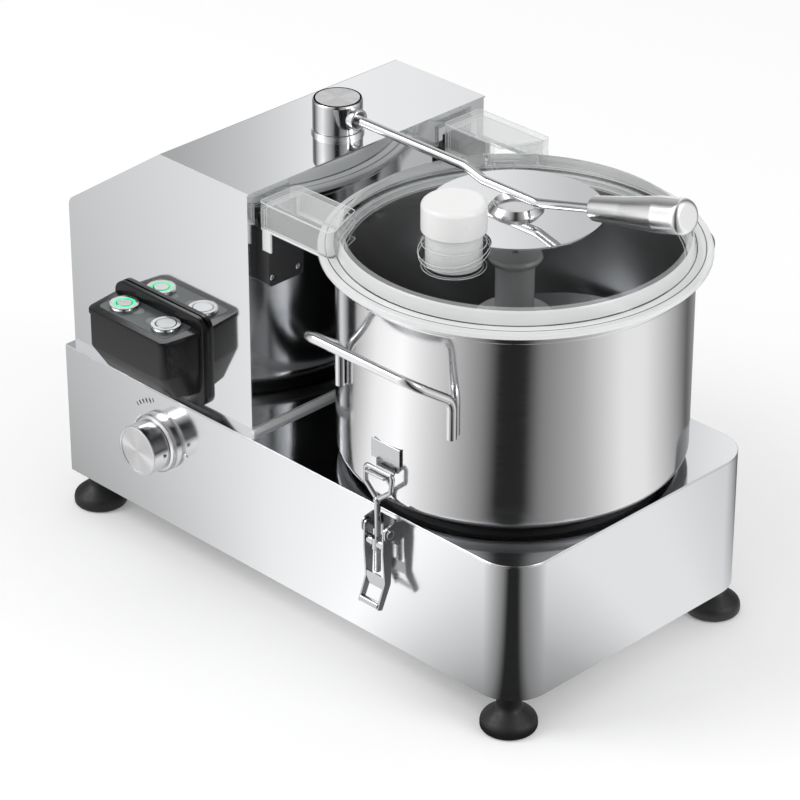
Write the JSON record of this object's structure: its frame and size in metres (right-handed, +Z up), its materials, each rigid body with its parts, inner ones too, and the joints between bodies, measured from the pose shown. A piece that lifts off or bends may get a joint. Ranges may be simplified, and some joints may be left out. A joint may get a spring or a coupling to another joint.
{
  "type": "commercial food processor",
  "caption": "Bench food processor with steel motor housing, clamped steel bowl, clear lid, swinging lock arm, push buttons and speed knob",
  "frame": {"origin": "middle of the part's outer box in X and Y, on the surface that the feet stand on", "axes": "+X from the motor housing to the bowl, -Y out of the side with the controls, +Z up"},
  "size_m": [0.5712, 0.353, 0.4327],
  "materials": {
    "steel": "satin",
    "mirror_steel": "polished",
    "galvanised": "satin",
    "cast": "satin",
    "brass": "satin",
    "rubber": "matte",
    "black_plastic": "matte",
    "grey_plastic": "satin",
    "white_plastic": "gloss",
    "clear_plastic": "gloss",
    "panel_blue": "satin",
    "green_light": "gloss",
    "board_green": "matte"
  },
  "bodies": {
    "stand": {"base_shell": "mirror_steel", "base_top_plate": "mirror_steel", "bottom_cover": "galvanised", "feet": "rubber", "foot_screws": "galvanised", "housing_cover": "mirror_steel", "housing_wall": "mirror_steel", "wall_strip": "white_plastic", "cable_gland": "black_plastic", "switch_box": "black_plastic", "switch_gasket": "rubber", "switch_panel": "panel_blue", "button_bezels": "steel", "start_light_ring": "green_light", "dial_ring": "steel", "potentiometer": "galvanised", "control_board": "board_green", "bowl_seat_ring": "rubber", "bowl": "mirror_steel", "bowl_handles": "steel", "latch_keepers": "steel", "lid_brackets": "black_plastic", "bracket_screws": "galvanised", "latch_brackets": "steel", "latch_rivets": "steel", "post_ring": "steel", "pivot_bush": "brass", "interlock_switch": "black_plastic", "bearing_housing": "cast", "shaft_bearings": "steel", "motor": "galvanised", "drive_belt": "rubber"},
    "start_push": {"start_button": "steel"},
    "stop_push": {"stop_button": "steel"},
    "knob": {"speed_knob": "steel", "knob_set_screw": "galvanised"},
    "lid_set": {"lid": "clear_plastic", "lid_gasket": "rubber", "lid_disc": "mirror_steel", "lid_cup": "steel"},
    "feed_plug": {"feed_cap": "white_plastic"},
    "lock_arm": {"post_cap": "steel", "rod_collar": "steel", "lock_rod": "mirror_steel", "grip": "steel", "arm_cam": "black_plastic"},
    "cutter": {"drive_shaft": "steel", "driven_pulley": "cast", "cutter_hub": "grey_plastic", "hub_cap": "grey_plastic", "lower_blade": "steel", "upper_blade": "steel"},
    "rotor": {"motor_shaft": "steel", "motor_pulley": "cast"},
    "front_lever": {"front_latch_lever": "steel"},
    "front_bail": {"front_latch_bail": "steel", "front_latch_nut": "steel"},
    "back_lever": {"back_latch_lever": "steel"},
    "back_bail": {"back_latch_bail": "steel", "back_latch_nut": "steel"}
  },
  "joints": [
    {"name": "lock_arm_swing", "type": "hinge", "parent": "stand", "child": "lock_arm", "pos_m": [-0.08907, 0, 0.3855], "axis": [0, 0, 1], "range_deg": [0, 180]},
    {"name": "lid_lift", "type": "slide", "parent": "stand", "child": "lid_set", "axis": [0, 0, 1], "range_m": [0, 0.0451]},
    {"name": "feed_cap_lift", "type": "slide", "parent": "lid_set", "child": "feed_plug", "axis": [0, 0, 1], "range_m": [0, 0.05]},
    {"name": "cutter_spin", "type": "hinge", "parent": "stand", "child": "cutter", "pos_m": [0.10943, 0, 0.154], "axis": [0, 0, 1], "continuous": true},
    {"name": "motor_spin", "type": "hinge", "parent": "stand", "child": "rotor", "pos_m": [-0.16907, 0, 0.154], "axis": [0, 0, 1], "continuous": true},
    {"name": "start_press", "type": "slide", "parent": "stand", "child": "start_push", "axis": [0, 0, -1], "range_m": [0, 0.0015], "stiffness_N_per_m": 400, "springref_m": -0.001},
    {"name": "stop_press", "type": "slide", "parent": "stand", "child": "stop_push", "axis": [0, 0, -1], "range_m": [0, 0.0015], "stiffness_N_per_m": 400, "springref_m": -0.001},
    {"name": "speed_turn", "type": "hinge", "parent": "stand", "child": "knob", "pos_m": [-0.16157, -0.139, 0.107], "axis": [0, 1, 0], "range_deg": [0, 300]},
    {"name": "front_latch_swing", "type": "hinge", "parent": "stand", "child": "front_lever", "pos_m": [0.10943, -0.151, 0.1433], "axis": [-1, 0, 0], "range_deg": [0, 100]},
    {"name": "front_bail_swing", "type": "hinge", "parent": "front_lever", "child": "front_bail", "pos_m": [0.10943, -0.151, 0.1306], "axis": [-1, 0, 0], "range_deg": [-95.5, 0]},
    {"name": "back_latch_swing", "type": "hinge", "parent": "stand", "child": "back_lever", "pos_m": [0.10943, 0.151, 0.1433], "axis": [1, 0, 0], "range_deg": [0, 100]},
    {"name": "back_bail_swing", "type": "hinge", "parent": "back_lever", "child": "back_bail", "pos_m": [0.10943, 0.151, 0.1306], "axis": [1, 0, 0], "range_deg": [-95.5, 0]}
  ],
  "couplings": [
    {"joint": "lid_lift", "follows": "lock_arm_swing", "m_per_rad": 0.01432},
    {"joint": "motor_spin", "follows": "cutter_spin", "ratio": 2},
    {"joint": "front_bail_swing", "follows": "front_latch_swing", "ratio": -0.95},
    {"joint": "back_bail_swing", "follows": "back_latch_swing", "ratio": -0.95}
  ]
}
